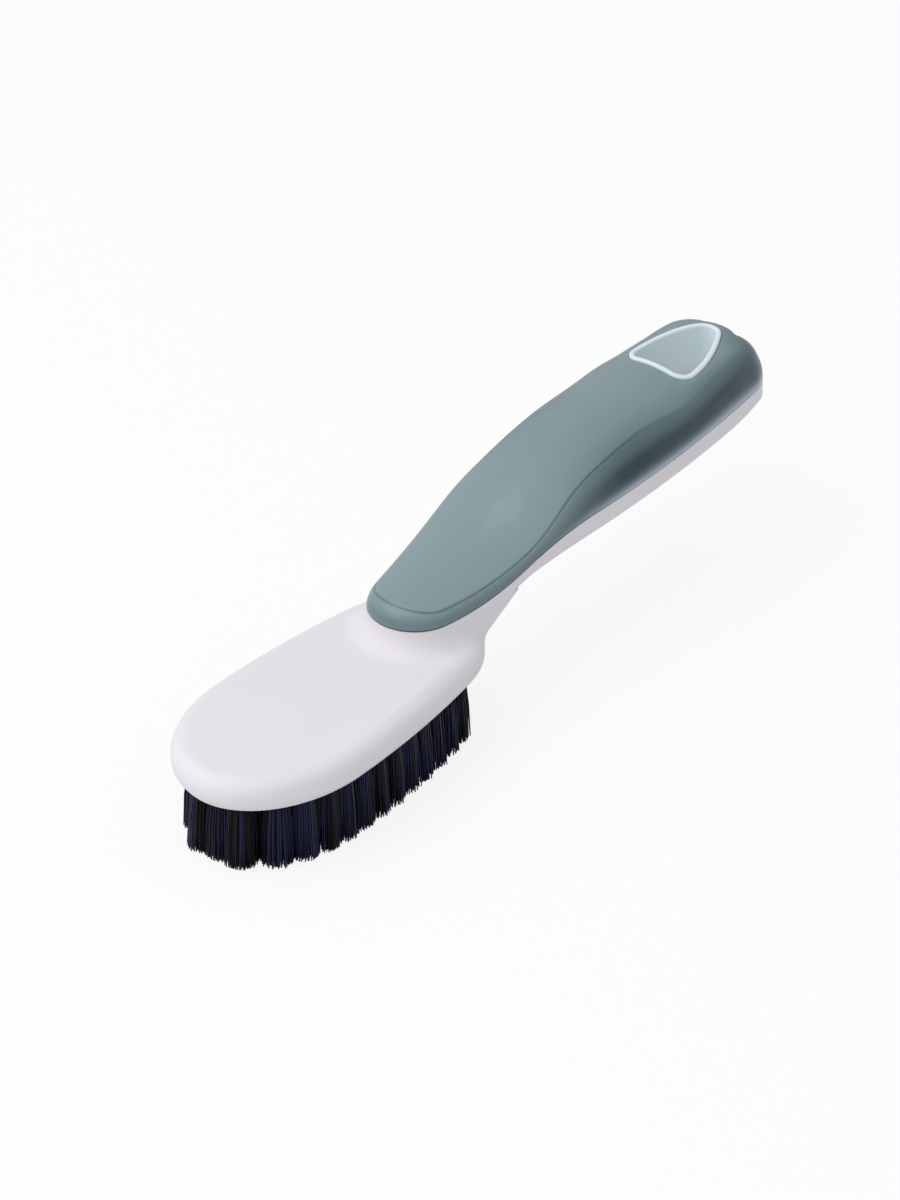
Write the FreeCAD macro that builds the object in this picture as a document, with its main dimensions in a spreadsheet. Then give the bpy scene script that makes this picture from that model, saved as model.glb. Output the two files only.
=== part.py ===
import FreeCAD, Part
import math
import os

from FreeCAD import Vector

# Shoe brush: a white moulded back with an upswept hollow handle, a grey grip cover
# that closes the handle, and staple-set bristle tufts in the underside of the head.
# Millimetres, +Z up, head towards -X. The origin is on the ground under the middle of
# the length, with the brush standing on its bristle tips. Stations are measured along
# X from the front tip of the head, heights from the lip where the bristles come out.
# Sizes that end in _behind_heel, _behind_nose or _to_tail are distances from there.

document = FreeCAD.newDocument("shoe_brush")
sheet = document.addObject("Spreadsheet::Sheet", "sizes")

SIZES = {
    "overall_length": 226.2,
    # Head of the back, seen from above and from the side
    "head_length": 104.0,
    "head_width": 51.4,
    "head_front": 36.0,
    "head_thickness": 9.4,
    "belt_height": 4.4,
    "lip_inset": 2.2,
    "head_edge_round": 4.4,
    "neck_flare": 6.0,
    "neck_line_overlap": 9.0,
    "neck_line_behind_heel": 7.0,
    # Handle, seen from above
    "nose_overlap": 29.0,
    "handle_width": 37.0,
    # Seam between the back and the grip cover
    "nose_seam_height": 16.0,
    "seam_height": 25.0,
    "seam_rise_behind_nose": 12.0,
    "seam_rise_length": 54.0,
    "seam_gap": 0.1,
    # Top and flanks of the grip cover
    "nose_crown_height": 21.7,
    "crown_height": 40.3,
    "crown_rise_length": 91.0,
    "crown_bow_radius": 32.0,
    "dome_to_tail": 22.2,
    "dome_drop": 9.8,
    "nose_lean": 3.2,
    "nose_lean_length": 25.0,
    "neck_lean": 2.2,
    "lean_behind_nose": 34.0,
    "lean_length": 32.0,
    "flank_lean": 7.2,
    "lean_fade_to_tail": 65.2,
    "lean_end_to_tail": 30.2,
    "hole_lean": 2.2,
    "tail_lean_to_tail": 23.2,
    "tail_lean": 4.0,
    "cover_wall": 1.8,
    # Underside of the handle
    "neck_root_height": 1.0,
    "belly_height": 13.6,
    "belly_ease": 0.4,
    "neck_rise_overlap": 10.0,
    "neck_rise_behind_heel": 14.0,
    "tail_rise_to_tail": 26.2,
    "tail_rise": 9.0,
    "trough_behind_heel": 4.0,
    "trough_wall": 2.0,
    # Hanging hole and the collar around it
    "hole_to_tail": 38.8,
    "hole_length": 26.8,
    "hole_width": 20.6,
    "hole_corner": 4.8,
    "hole_side_radius": 40.0,
    "hole_end_radius": 4.8,
    "collar_wall": 1.5,
    "collar_round": 0.6,
    "collar_proud": 0.6,
    "collar_gap": 0.15,
    # Pegs of the cover and their sockets in the handle
    "front_peg_behind_heel": 26.0,
    "rear_peg_to_hole": 16.4,
    "peg_diameter": 4.4,
    "peg_gap": 0.1,
    "peg_floor_gap": 0.3,
    "socket_wall": 1.6,
    "socket_height": 7.0,
    # Bristle tufts and their anchors
    "bristle_length": 19.4,
    "tuft_diameter": 4.0,
    "tuft_tip_diameter": 5.6,
    "tuft_pitch": 6.3,
    "tuft_edge_margin": 6.0,
    "tuft_splay": 0.7,
    "tuft_depth": 6.3,
    "tuft_gap": 0.1,
    "anchor_width": 5.0,
    "anchor_height": 1.8,
    "anchor_thickness": 0.35,
    "anchor_fold": 0.6,
    # How far a cutting solid runs past what it cuts
    "overrun": 5.0,
}
for row, (alias, value) in enumerate(SIZES.items(), start=1):
    sheet.set(f"A{row}", alias)
    sheet.set(f"B{row}", str(value))
    sheet.setAlias(f"B{row}", alias)
document.recompute()


def size(alias):
    """A driving dimension, read from the sheet."""
    return float(sheet.get(alias))


# Radii of the round ends as shares of the half width, and how round the belly is: 1 is an oval
HEEL_SHARE = 0.83
NOSE_SHARE = 0.676
TAIL_SHARE = 0.8
BELLY_ROUND_SHARE = 0.77


def behind_heel(distance):
    """The station that far behind the heel of the head."""
    return size("head_length") + distance


def behind_nose(distance):
    """The station that far behind the nose of the handle, which lies over the head."""
    return behind_heel(distance - size("nose_overlap"))


def before_tail(distance):
    """The station that far before the tail of the handle."""
    return size("overall_length") - distance


def at(station, side, height):
    """A point from its station along the brush, its side and its height over the lip."""
    return Vector(station - size("overall_length") / 2, side, height + size("bristle_length"))


def arc(start, middle, end):
    """A circular edge through three points."""
    return Part.Arc(start, middle, end).toShape()


def line(start, end):
    """A straight edge."""
    return Part.LineSegment(start, end).toShape()


def feature(name, shape):
    """A document object that holds a shape worked out from the sheet."""
    held = document.addObject("Part::Feature", name)
    held.Shape = shape
    return held


def prism(name, outline, direction, length, symmetric=False):
    """A face drawn out along a direction; the length is an expression on the sheet."""
    drawn = document.addObject("Part::Extrusion", name)
    drawn.Base = feature(name + "_outline", Part.Face(outline))
    drawn.DirMode = "Custom"
    drawn.Dir = direction
    drawn.Solid = True
    drawn.Symmetric = symmetric
    drawn.setExpression("LengthFwd", length)
    return drawn


def combine(kind, name, *members):
    """A boolean of the document: common or fuse of several members."""
    joined = document.addObject("Part::" + kind, name)
    joined.Shapes = list(members)
    return joined


def cut(name, base, tool):
    """One object less another."""
    trimmed = document.addObject("Part::Cut", name)
    trimmed.Base = base
    trimmed.Tool = tool
    return trimmed


def face_rise(face):
    """How far a face looks up: 1 level, 0 upright, -1 looking down."""
    first_u, last_u, first_v, last_v = face.ParameterRange
    return face.normalAt((first_u + last_u) / 2, (first_v + last_v) / 2).z


TOUCH = 1e-4
UPRIGHT_SHARE = 0.02
LEVEL_SHARE = 0.3


def rounded_rim(name, base, radius):
    """Rounds the edges where the upright walls meet the faces that look up."""
    document.recompute()
    edges = []
    for number, edge in enumerate(base.Shape.Edges, start=1):
        rises = [face_rise(face) for face in base.Shape.ancestorsOfType(edge, Part.Face)]
        meets_wall = any(abs(rise) < UPRIGHT_SHARE for rise in rises)
        meets_top = any(rise > LEVEL_SHARE for rise in rises)
        if meets_wall and meets_top:
            edges.append((number, radius, radius))
    rounded = document.addObject("Part::Fillet", name)
    rounded.Base = base
    rounded.Edges = edges
    return rounded


# Outlines seen from above

UP = Vector(0, 0, 1)
ACROSS = Vector(0, 1, 0)


def bow(first_centre, first_radius, last_centre, last_radius, half_width):
    """Centre station and radius of the side arc that touches two end circles.

    The arc reaches half_width at its widest. With u the distance from the first centre
    to the widest station, the two tangencies give one quadratic in u.
    """
    span = last_centre - first_centre
    first_room = half_width - first_radius
    last_room = half_width - last_radius
    square = last_room - first_room
    half_linear = first_room * span
    constant = first_room * (last_room * (first_radius - last_radius) - span**2)
    root = math.sqrt(half_linear**2 - square * constant)
    distance = -constant / (half_linear + root)
    radius = (distance**2 / first_room + half_width + first_radius) / 2
    return first_centre + distance, radius


def handle_bow(inset):
    """The handle's end circles and side arc, drawn in by an inset."""
    full_half_width = size("handle_width") / 2
    nose_centre = behind_nose(full_half_width * NOSE_SHARE)
    tail_centre = before_tail(full_half_width * TAIL_SHARE)
    nose_radius = full_half_width * NOSE_SHARE - inset
    tail_radius = full_half_width * TAIL_SHARE - inset
    half_width = full_half_width - inset
    widest, radius = bow(nose_centre, nose_radius, tail_centre, tail_radius, half_width)
    return nose_centre, nose_radius, tail_centre, tail_radius, half_width, widest, radius


def handle_outline(inset, height):
    """Closed outline of the handle: nose circle, two bowed sides, tail circle."""
    ends = handle_bow(inset)
    nose_centre, nose_radius, tail_centre, tail_radius, half_width, widest, radius = ends
    arc_centre = half_width - radius
    nose_reach = nose_radius / (radius - nose_radius)
    tail_reach = tail_radius / (radius - tail_radius)
    nose_station = nose_centre + (nose_centre - widest) * nose_reach
    tail_station = tail_centre + (tail_centre - widest) * tail_reach
    nose_side = -arc_centre * nose_reach
    tail_side = -arc_centre * tail_reach
    nose_near = at(nose_station, -nose_side, height)
    nose_far = at(nose_station, nose_side, height)
    tail_near = at(tail_station, -tail_side, height)
    tail_far = at(tail_station, tail_side, height)
    return Part.Wire([
        arc(nose_near, at(nose_centre - nose_radius, 0, height), nose_far),
        arc(nose_far, at(widest, half_width, height), tail_far),
        arc(tail_far, at(tail_centre + tail_radius, 0, height), tail_near),
        arc(tail_near, at(widest, -half_width, height), nose_near),
    ])


def side_half_width(station, inset):
    """Half width of the bowed side at a station, past the end circles too."""
    half_width, widest, radius = handle_bow(inset)[4:]
    return half_width - radius + math.sqrt(radius**2 - (station - widest)**2)


def head_outline(inset, height):
    """Closed outline of the head: half an ellipse, bowed sides and a round heel."""
    half_width = size("head_width") / 2 - inset
    front = size("head_front")
    full_heel = size("head_width") / 2 * HEEL_SHARE
    heel = full_heel - inset
    heel_station = behind_heel(-full_heel)
    run = heel_station - front
    radius = (run**2 / (half_width - heel) + heel + half_width) / 2
    arc_centre = half_width - radius
    reach = heel / (radius - heel)
    touch_station = heel_station + run * reach
    touch_side = -arc_centre * reach
    middle_station = (front + touch_station) / 2
    middle_side = arc_centre + math.sqrt(radius**2 - (middle_station - front)**2)
    oval = Part.Ellipse(at(front, 0, height), front - inset, half_width)
    near_touch = at(touch_station, -touch_side, height)
    far_touch = at(touch_station, touch_side, height)
    return Part.Wire([
        Part.ArcOfEllipse(oval, math.pi / 2, 3 * math.pi / 2).toShape(),
        arc(at(front, -half_width, height), at(middle_station, -middle_side, height), near_touch),
        arc(near_touch, at(heel_station + heel, 0, height), far_touch),
        arc(far_touch, at(middle_station, middle_side, height), at(front, half_width, height)),
    ])


def hole_outline(inset, height):
    """Closed outline of the hanging hole: flat towards the head, small and round at the tail.

    Each side is an arc that touches a corner circle and the end circle, so its centre is
    as far from each of their centres as its radius is larger than theirs.
    """
    corner = size("hole_corner") - inset
    end = size("hole_end_radius") - inset
    side = size("hole_side_radius") - inset
    flat_station = before_tail(size("hole_to_tail"))
    end_station = flat_station + size("hole_length") - size("hole_end_radius")
    corner_side = size("hole_width") / 2 - size("hole_corner")
    corner_centre = at(flat_station + size("hole_corner"), corner_side, height)
    end_centre = at(end_station, 0, height)
    span = end_centre - corner_centre
    along = ((side - corner)**2 - (side - end)**2 + span.Length**2) / (2 * span.Length)
    inward = span.cross(UP).normalize() * math.sqrt((side - corner)**2 - along**2)
    side_centre = corner_centre + span * (along / span.Length) + inward
    corner_normal = (corner_centre - side_centre).normalize()
    end_normal = (end_centre - side_centre).normalize()
    side_normal = (corner_normal + end_normal).normalize()
    bend_normal = (corner_normal - Vector(1, 0, 0)).normalize()
    far = [
        end_centre + end_normal * end,
        side_centre + side_normal * side,
        corner_centre + corner_normal * corner,
        corner_centre + bend_normal * corner,
        corner_centre - Vector(corner, 0, 0),
    ]
    near = [Vector(point.x, -point.y, point.z) for point in far]
    return Part.Wire([
        arc(near[0], end_centre + Vector(end, 0, 0), far[0]),
        arc(far[0], far[1], far[2]),
        arc(far[2], far[3], far[4]),
        line(far[4], near[4]),
        arc(near[4], near[3], near[2]),
        arc(near[2], near[1], near[0]),
    ])


# Profiles seen from the side


def ease_height(station, start, low, end, high):
    """Height of an S of two equal arcs, level at both ends, at a station."""
    if station <= start:
        return low
    if station >= end:
        return high
    run = end - start
    rise = high - low
    radius = (run**2 + rise**2) / (4 * rise)
    if station < start + run / 2:
        return low + radius - math.copysign(math.sqrt(radius**2 - (station - start)**2), radius)
    return high - radius + math.copysign(math.sqrt(radius**2 - (end - station)**2), radius)


def ease_edges(start, low, end, high):
    """Edges of the same S, from its low end to its high end."""
    run = end - start
    middle = at(start + run / 2, 0, (low + high) / 2)
    quarter = start + run / 4
    last_quarter = end - run / 4
    first_point = at(quarter, 0, ease_height(quarter, start, low, end, high))
    last_point = at(last_quarter, 0, ease_height(last_quarter, start, low, end, high))
    return [
        arc(at(start, 0, low), first_point, middle),
        arc(middle, last_point, at(end, 0, high)),
    ]


def seam_height(station):
    """Height of the seam at a station."""
    start = behind_nose(size("seam_rise_behind_nose"))
    end = start + size("seam_rise_length")
    return ease_height(station, start, size("nose_seam_height"), end, size("seam_height"))


def seam_edges(lift):
    """The seam from the nose to the tail, moved up by a lift, with its two end points."""
    start = behind_nose(size("seam_rise_behind_nose"))
    end = start + size("seam_rise_length")
    low = size("nose_seam_height") + lift
    high = size("seam_height") + lift
    first = at(behind_nose(-size("overrun")), 0, low)
    last = at(size("overall_length") + size("overrun"), 0, high)
    edges = [line(first, at(start, 0, low))]
    edges += ease_edges(start, low, end, high)
    edges.append(line(at(end, 0, high), last))
    return edges, first, last


FALL_POWER = 3


def fall(station, run, drop):
    """A curve that leaves the level a run before the tail and has dropped by drop there.

    The drop grows with the power FALL_POWER of the share of the run.
    """
    return drop * (max(station - before_tail(run), 0) / run)**FALL_POWER


def crown_height(station):
    """Height of the cover's top along its middle: it climbs from the nose and falls at the tail."""
    start = behind_nose(0)
    end = behind_nose(size("crown_rise_length"))
    level = ease_height(station, start, size("nose_crown_height"), end, size("crown_height"))
    return level - fall(station, size("dome_to_tail"), size("dome_drop"))


def profile_between(lower, upper):
    """Closed side profile between a lower and an upper run of edges."""
    lower_edges, lower_first, lower_last = lower
    upper_edges, upper_first, upper_last = upper
    closing = [line(lower_last, upper_last), line(lower_first, upper_first)]
    return Part.Wire(Part.__sortEdges__(lower_edges + upper_edges + closing))


def level_edges(height):
    """A level run as long as the handle, with its end points."""
    first = at(behind_nose(-size("overrun")), 0, height)
    last = at(size("overall_length") + size("overrun"), 0, height)
    return [line(first, last)], first, last


def belly_height(station):
    """Height of the handle's underside: it leaves the heel, runs level and lifts at the tail."""
    start = behind_heel(-size("neck_rise_overlap"))
    end = behind_heel(size("neck_rise_behind_heel"))
    level = ease_height(station, start, size("neck_root_height"), end, size("belly_height"))
    return level + fall(station, size("tail_rise_to_tail"), size("tail_rise"))


FULL_WIDTH = "sizes.head_width + sizes.overrun"
FULL_HEIGHT = "sizes.bristle_length + sizes.crown_height + sizes.overrun"
BELLY_SHARES = (0, 0.08, 0.15, 0.19, 0.23, 0.27, 0.31, 0.36, 0.46, 0.58, 0.7, 0.8, 0.87, 0.94, 1)
BELLY_STEPS = 16
LEAST_DEPTH = 0.5


# The lower half of the handle


def belly_section(station, inset):
    """A full half oval under the seam, a little wider than the handle, with walls above it.

    At a turn t from one side to the other, the oval is y = width * cos(t)**share and
    z = depth * sin(t)**share.
    """
    half_width = side_half_width(station, inset) + size("belly_ease")
    seam = seam_height(station)
    depth = max(seam - belly_height(station) - inset, LEAST_DEPTH)
    top = size("crown_height")
    points = []
    for step in range(BELLY_STEPS + 1):
        turn = math.pi * step / BELLY_STEPS
        side = math.copysign(abs(math.cos(turn))**BELLY_ROUND_SHARE, -math.cos(turn))
        fall_share = math.sin(turn)**BELLY_ROUND_SHARE
        points.append(at(station, half_width * side, seam - depth * fall_share))
    near_top = at(station, -half_width, top)
    far_top = at(station, half_width, top)
    bottom = Part.BSplineCurve()
    bottom.interpolate(points)
    return Part.Wire([
        bottom.toShape(),
        line(points[-1], far_top),
        line(far_top, near_top),
        line(near_top, points[0]),
    ])


def handle_half(name, inset, first_station):
    """The handle under the seam, drawn in by an inset, from a station to the tail."""
    run = size("overall_length") + size("overrun") / 2 - first_station
    belly = document.addObject("Part::Loft", name + "_belly")
    belly.Sections = [
        feature(f"{name}_section_{number}", belly_section(first_station + run * share, inset))
        for number, share in enumerate(BELLY_SHARES)
    ]
    belly.Solid = True
    plan = prism(name + "_plan", handle_outline(inset, -size("bristle_length")), UP, FULL_HEIGHT)
    under_seam = profile_between(level_edges(-size("bristle_length")), seam_edges(0))
    side = prism(name + "_side", under_seam, ACROSS, FULL_WIDTH, symmetric=True)
    return combine("MultiCommon", name, belly, plan, side)


# The grip cover's outer and inner forms

CROWN_SHARES = (0, 0.07, 0.14, 0.21, 0.28, 0.35, 0.42, 0.49, 0.56, 0.63, 0.7, 0.78, 0.85, 0.91, 0.96, 1)
FLANK_SHARES = (-0.4, 0, 0.35, 0.7, 1, 1.25)
FLANK_STEPS = 20
FLANK_DEGREE = 3


def crown_section(station, inset):
    """A section that fills everything under the cover's bowed top."""
    radius = size("crown_bow_radius")
    side = size("handle_width") / 2 + size("overrun")
    top = crown_height(station) - inset
    edge = top - radius + math.sqrt(radius**2 - side**2)
    near = at(station, -side, edge)
    far = at(station, side, edge)
    near_low = at(station, -side, 0)
    far_low = at(station, side, 0)
    bowed = arc(near, at(station, 0, top), far)
    return Part.Wire([bowed, line(far, far_low), line(far_low, near_low), line(near_low, near)])


def crown_block(name, inset):
    """Everything under the cover's top, from before the nose to past the tail."""
    first = behind_nose(-size("overrun"))
    run = size("overall_length") + size("overrun") / 2 - first
    crown = document.addObject("Part::Loft", name)
    crown.Sections = [
        feature(f"{name}_section_{number}", crown_section(first + run * share, inset))
        for number, share in enumerate(CROWN_SHARES)
    ]
    crown.Solid = True
    return crown


def flank_height(station, share):
    """Height at a share of the way from the seam up to the crown."""
    seam = seam_height(station)
    return seam + share * (crown_height(station) - seam)


def flank_lean(station):
    """How far the flank draws in at the crown: least at the neck and beside the hole."""
    neck = size("neck_lean")
    flank = size("flank_lean")
    hole = size("hole_lean")
    nose_loss = size("nose_lean") - neck
    tail_gain = size("tail_lean") - hole
    start = behind_nose(size("lean_behind_nose"))
    full = start + size("lean_length")
    fade = before_tail(size("lean_fade_to_tail"))
    end = before_tail(size("lean_end_to_tail"))
    tail_start = before_tail(size("tail_lean_to_tail"))
    lean = size("nose_lean")
    lean -= ease_height(station, behind_nose(0), 0, behind_nose(size("nose_lean_length")), nose_loss)
    lean += ease_height(station, start, 0, full, flank - neck)
    lean -= ease_height(station, fade, 0, end, flank - hole)
    lean += ease_height(station, tail_start, 0, size("overall_length"), tail_gain)
    return lean


def flank_ring(share, inset, level=None):
    """A ring round the handle at a share of the way from the seam up to the crown.

    The ring draws in with the square of that share, so the flank starts upright at the
    seam and rolls over towards the crown. A level makes the ring flat.
    """
    edges = []
    for edge in handle_outline(inset, 0).Edges:
        run = edge.LastParameter - edge.FirstParameter
        points = []
        for step in range(FLANK_STEPS + 1):
            parameter = edge.FirstParameter + run * step / FLANK_STEPS
            spot = edge.valueAt(parameter)
            inward = edge.tangentAt(parameter).cross(UP)
            station = spot.x + size("overall_length") / 2
            height = flank_height(station, share) if level is None else level
            lean = flank_lean(station) * max(share, 0)**2
            points.append(spot + UP * height + inward * lean)
        curve = Part.BSplineCurve()
        curve.interpolate(points)
        edges.append(curve.toShape())
    return Part.Wire(edges)


def flank_block(name, inset):
    """Everything inside the handle's flanks, closed by a level ring below and above."""
    top = size("crown_height") + 2 * size("overrun")
    rings = [flank_ring(FLANK_SHARES[0], inset, level=0)]
    rings += [flank_ring(share, inset) for share in FLANK_SHARES]
    rings.append(flank_ring(FLANK_SHARES[-1], inset, level=top))
    flank = document.addObject("Part::Loft", name)
    flank.Sections = [feature(f"{name}_ring_{number}", ring) for number, ring in enumerate(rings)]
    flank.Solid = True
    flank.MaxDegree = FLANK_DEGREE
    return flank


def cover_form(name, inset):
    """The handle inside its flanks and under its crown, drawn in by an inset."""
    flank = flank_block(name + "_flank", inset)
    crown = crown_block(name + "_crown", inset)
    return combine("MultiCommon", name, flank, crown)


def over_seam(name, lift):
    """Everything over the seam, moved up by a lift."""
    top = level_edges(size("crown_height") + size("overrun"))
    return prism(name, profile_between(seam_edges(lift), top), ACROSS, FULL_WIDTH, symmetric=True)


# Tuft places: rows across the head, spread to follow the lip

CLOSEST_SHARE = 0.92


def field_ends():
    """Stations of the first and the last row of tuft roots."""
    margin = size("lip_inset") + size("tuft_edge_margin") + size("tuft_pitch") / 4
    return margin, behind_heel(-margin)


def field_half_width(station):
    """Half width of the field of tuft roots at a station."""
    outline = head_outline(size("lip_inset") + size("tuft_edge_margin"), 0)
    probe = line(at(station, 0, 0), at(station, size("head_width"), 0))
    return outline.distToShape(probe)[1][0][0].y


def tuft_rows():
    """Lists of tuft roots, one list for each row across the head."""
    first, last = field_ends()
    pitch = size("tuft_pitch")
    count = round((last - first) / pitch) + 1
    rows = []
    for row in range(count):
        station = first + (last - first) * row / (count - 1)
        reach = field_half_width(station)
        across = max(int(2 * reach / (pitch * CLOSEST_SHARE)) + 1, 2)
        sides = [-reach + 2 * reach * place / (across - 1) for place in range(across)]
        rows.append([at(station, side, 0) for side in sides])
    return rows


def tuft_tip(root):
    """The middle of a tuft's tip: out to its side, and the nearer the front, the further ahead."""
    first, last = field_ends()
    centre = at((first + last) / 2, 0, 0)
    half_width = size("head_width") / 2 - size("lip_inset") - size("tuft_edge_margin")
    along = 2 * (root.x - centre.x) / (last - first)
    lean = Vector((along - 1) / 2, root.y / half_width, 0) * size("tuft_splay")
    return root + lean - UP * size("bristle_length")


# The back: head, neck flare, handle trough, collar, sockets and tuft holes


FOOT_SHARES = (0, 0.3, 0.65, 1)


def head_foot():
    """The lower part of the head, whose walls curve in from the belt down to the lip.

    They draw in with the square of the way down, so they leave the belt upright.
    """
    foot = document.addObject("Part::Loft", "head_foot")
    foot.Sections = [
        feature(
            f"head_foot_section_{number}",
            head_outline(size("lip_inset") * (1 - share)**2, size("belt_height") * share),
        )
        for number, share in enumerate(FOOT_SHARES)
    ]
    foot.Solid = True
    return foot


def over_neck_line():
    """Everything over the belt, and behind the heel over a line that climbs to the seam."""
    belt = size("belt_height")
    seam = size("nose_seam_height")
    corners = [
        at(-size("overrun"), 0, belt),
        at(behind_heel(-size("neck_line_overlap")), 0, belt),
        at(behind_heel(size("neck_line_behind_heel")), 0, seam),
        at(-size("overrun"), 0, seam),
    ]
    sides = [line(first, last) for first, last in zip(corners, corners[1:] + corners[:1])]
    return prism("over_neck_line", Part.Wire(sides), ACROSS, FULL_WIDTH, symmetric=True)


def shoulder():
    """The top of the head and the root of the handle, with one hollow curve where they meet."""
    block = prism("head_block", head_outline(0, 0), UP, "sizes.head_thickness")
    rounded = rounded_rim("head_rounded", block, size("head_edge_round"))
    root = prism("neck_root", handle_outline(0, 0), UP, "sizes.nose_seam_height")
    joined = combine("MultiFuse", "head_and_root", rounded, root)
    document.recompute()
    meeting = rounded.Shape.section(root.Shape)
    lip = at(0, 0, 0).z
    radius = size("neck_flare")
    edges = []
    for number, edge in enumerate(joined.Shape.Edges, start=1):
        middle = edge.valueAt((edge.FirstParameter + edge.LastParameter) / 2)
        on_lip = math.isclose(middle.z, lip)
        if meeting.distToShape(Part.Vertex(middle))[0] < TOUCH and not on_lip:
            edges.append((number, radius, radius))
    flared = document.addObject("Part::Fillet", "flared_neck")
    flared.Base = joined
    flared.Edges = edges
    return combine("MultiCommon", "shoulder", flared, over_neck_line())


def post(name, radius, station, low, high):
    """An upright round post; the radius is an expression on the sheet."""
    round_post = document.addObject("Part::Cylinder", name)
    round_post.setExpression("Radius", radius)
    round_post.Height = high - low
    round_post.Placement.Base = at(station, 0, low)
    return round_post


def peg_stations():
    """Where the cover's pegs stand: one behind the heel, one before the hanging hole."""
    rear = size("hole_to_tail") + size("rear_peg_to_hole")
    return {"front": behind_heel(size("front_peg_behind_heel")), "rear": before_tail(rear)}


def sockets(name, radius, floor_share, rise):
    """A post at each peg, from inside the trough's floor up to a height over the floor."""
    posts = []
    for place, station in peg_stations().items():
        low = belly_height(station) + size("trough_wall") * floor_share
        high = belly_height(station) + size("trough_wall") + rise
        posts.append(post(f"{name}_{place}", radius, station, low, high))
    return combine("MultiFuse", name, *posts)


def tuft_bore():
    """One tuft hole with the slit that its anchor bites into."""
    hole = document.addObject("Part::Cylinder", "tuft_hole")
    hole.setExpression("Radius", "sizes.tuft_diameter / 2 + sizes.tuft_gap")
    hole.setExpression("Height", "sizes.tuft_depth + sizes.tuft_gap + sizes.overrun")
    hole.setExpression("Placement.Base.z", "-sizes.overrun")
    return combine("MultiFuse", "tuft_bore", hole, anchor)


def spread(name, master, points):
    """Copies of a master at a list of points, as one group of separate solids."""
    document.recompute()
    return feature(name, Part.Compound([master.Shape.translated(point) for point in points]))


def brush_back():
    """The white back, in one moulding."""
    handle = handle_half("handle", 0, behind_nose(-size("overrun")))
    solid_back = combine("MultiFuse", "solid_back", head_foot(), shoulder(), handle)
    trough_start = behind_heel(size("trough_behind_heel"))
    trough = handle_half("trough", size("trough_wall"), trough_start)
    hollow_back = cut("hollow_back", solid_back, trough)
    collar_outline = hole_outline(0, -size("bristle_length"))
    collar_post = prism("collar_post", collar_outline, UP, FULL_HEIGHT)
    over_belly = over_seam("collar_over_seam", 0)
    collar_limit = combine("MultiFuse", "collar_limit", handle, over_belly)
    collar_crown = crown_block("collar_crown", -size("collar_proud"))
    collar = combine("MultiCommon", "collar", collar_post, collar_crown, collar_limit)
    boss_radius = "sizes.peg_diameter / 2 + sizes.peg_gap + sizes.socket_wall"
    bore_radius = "sizes.peg_diameter / 2 + sizes.peg_gap"
    bosses = sockets("boss", boss_radius, 1 / 2, size("socket_height"))
    bores = sockets("boss_bore", bore_radius, 1, size("socket_height") + size("overrun"))
    hole_wire = hole_outline(size("collar_wall"), -size("bristle_length"))
    hole_post = prism("hole_post", hole_wire, UP, FULL_HEIGHT)
    collar_ring = cut("collar_ring", collar, hole_post)
    collar_lip = rounded_rim("collar_lip", collar_ring, size("collar_round"))
    filled = combine("MultiFuse", "filled_back", hollow_back, collar_lip, bosses)
    tuft_points = [point for row in tuft_rows() for point in row]
    tuft_bores = spread("tuft_bores", tuft_bore(), tuft_points)
    drilled = combine("MultiFuse", "drillings", hole_post, bores, tuft_bores)
    return cut("brush_back", filled, drilled)


# The grip cover: shell, opening for the collar, pegs


def grip_cover():
    """The grey cover that closes the handle, held by its pegs."""
    over_gap = over_seam("cover_side", size("seam_gap"))
    outer = combine("MultiCommon", "cover", cover_form("cover_form", 0), over_gap)
    cavity = cover_form("cover_cavity", size("cover_wall"))
    shell = cut("cover_shell", outer, cavity)
    pegs = []
    for place, station in peg_stations().items():
        low = belly_height(station) + size("trough_wall") + size("peg_floor_gap")
        high = crown_height(station) - size("cover_wall") / 2
        pegs.append(post(f"peg_{place}", "sizes.peg_diameter / 2", station, low, high))
    pegged = combine("MultiFuse", "pegged_cover", shell, *pegs)
    opening = prism("cover_opening", hole_outline(-size("collar_gap"), 0), UP, FULL_HEIGHT)
    return cut("grip_cover", pegged, opening)


# One tuft and its anchor, at the mouth of a hole, and their rows


def anchor_plate():
    """The flat staple that holds a folded tuft at the bottom of its hole."""
    plate = document.addObject("Part::Box", "anchor")
    plate.setExpression("Length", "sizes.anchor_width")
    plate.setExpression("Width", "sizes.anchor_thickness")
    plate.setExpression("Height", "sizes.anchor_height")
    plate.setExpression("Placement.Base.x", "-sizes.anchor_width / 2")
    plate.setExpression("Placement.Base.y", "-sizes.anchor_thickness / 2")
    plate.setExpression("Placement.Base.z", "sizes.tuft_depth - sizes.anchor_fold - sizes.anchor_height")
    return plate


def bristle_tuft(root):
    """A folded bunch of bristle: a round stem in its hole and a free part that fans out."""
    radius = size("tuft_diameter") / 2
    stem = Part.makeCylinder(radius, size("tuft_depth"), root)
    tip_ring = Part.Wire(Part.makeCircle(size("tuft_tip_diameter") / 2, tuft_tip(root)))
    mouth_ring = Part.Wire(Part.makeCircle(radius, root))
    fan = Part.makeLoft([tip_ring, mouth_ring], True, True)
    return stem.fuse(fan).cut(anchor.Shape.translated(root))


anchor = anchor_plate()
pieces = [brush_back(), grip_cover()]
for row, points in enumerate(tuft_rows(), start=1):
    tufts = Part.Compound([bristle_tuft(point) for point in points])
    pieces.append(feature(f"tuft_row_{row:02d}", tufts))
    pieces.append(spread(f"anchor_row_{row:02d}", anchor, points))
document.recompute()

# Every object has to be sound before anything is written

for item in document.Objects:
    if "Invalid" in item.State or "Error" in item.State:
        raise RuntimeError(f"{item.Name} failed: {item.State}")
for piece in pieces:
    if piece.Shape.isNull() or not piece.Shape.isValid():
        raise RuntimeError(f"{piece.Name} has no valid shape")

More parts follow.
